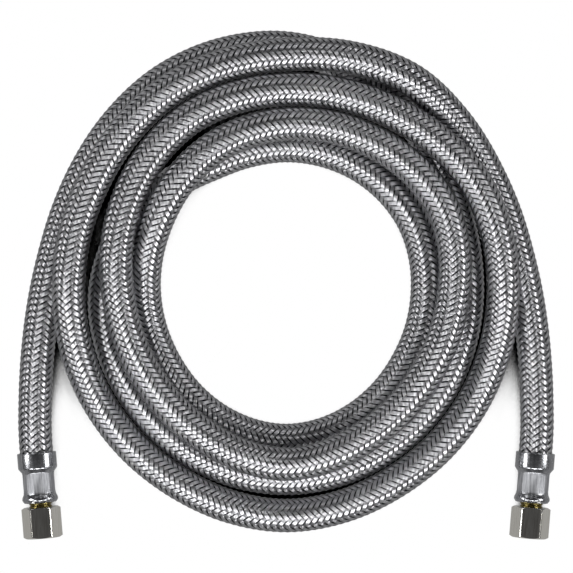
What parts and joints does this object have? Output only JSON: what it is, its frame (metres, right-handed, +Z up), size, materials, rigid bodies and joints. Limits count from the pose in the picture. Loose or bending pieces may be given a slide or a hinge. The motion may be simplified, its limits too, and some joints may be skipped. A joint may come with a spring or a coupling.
{
  "type": "ice maker supply line",
  "caption": "Braided stainless steel water hose lying in a flat coil, with a crimped ferrule, brass insert and swivelling hexagonal compression nut at each end.",
  "frame": {"origin": "on the floor, under the centre of the hose's outline seen from above", "axes": "+Z up, out of the coil's plane; +X across the two ends, to the right as in the picture; both nuts point towards -Y"},
  "size_m": [0.1956, 0.1844, 0.0268],
  "materials": {
    "braid": "woven stainless steel wire, satin",
    "liner": "translucent vinyl",
    "ferrule": "pressed stainless steel, semi-bright",
    "brass": "turned brass",
    "nut": "nickel plate",
    "rubber": "black rubber"
  },
  "bodies": {
    "hose": {"hose_braid": "braid", "inner_tube": "liner", "ferrule_left": "ferrule", "insert_stem_left": "brass", "cone_seal_left": "rubber", "ferrule_right": "ferrule", "insert_stem_right": "brass", "cone_seal_right": "rubber"},
    "nut_left": {"swivel_nut_left": "nut"},
    "nut_right": {"swivel_nut_right": "nut"}
  },
  "joints": [
    {"name": "nut_swivel_left", "type": "hinge", "parent": "hose", "child": "nut_left", "pos_m": [-0.08875, -0.08612, 0.0071], "axis": [0.0802, -0.9968, 0], "continuous": true},
    {"name": "nut_swivel_right", "type": "hinge", "parent": "hose", "child": "nut_right", "pos_m": [0.08875, -0.08612, 0.0071], "axis": [-0.0802, -0.9968, 0], "continuous": true}
  ]
}
